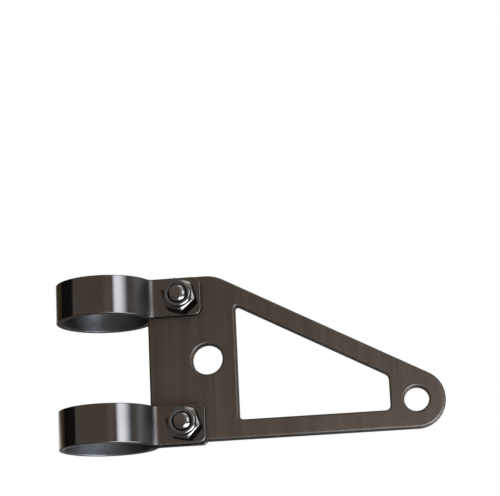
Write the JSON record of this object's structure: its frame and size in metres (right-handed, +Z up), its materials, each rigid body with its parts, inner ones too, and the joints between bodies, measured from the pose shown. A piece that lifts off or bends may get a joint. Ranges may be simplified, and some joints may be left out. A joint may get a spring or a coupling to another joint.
{
  "type": "headlight fork bracket",
  "caption": "Flat side plate with a triangular window, held to a motorcycle fork tube by screwed clamp bands, with a hole in its rounded tip that carries a headlight.",
  "frame": {"origin": "on the axis of the fork tube, midway between the clamp bands", "axes": "+Z up along the fork tube, +X to the headlight hole, the plate in the plane y = 0 with the nuts on -Y and the screw heads on +Y"},
  "size_m": [0.1638, 0.042, 0.0716],
  "materials": {
    "plate": "satin dark grey plating, brushed upright",
    "band": "polished black chrome",
    "fastener": "polished dark plating",
    "insert": "dull black plastic"
  },
  "bodies": {
    "root": {"bracket_plate": "plate", "upper_clamp_band": "band", "lower_clamp_band": "band", "upper_clamp_screw": "fastener", "lower_clamp_screw": "fastener", "upper_clamp_nut": "fastener", "lower_clamp_nut": "fastener", "upper_nut_insert": "insert", "lower_nut_insert": "insert"}
  },
  "joints": []
}
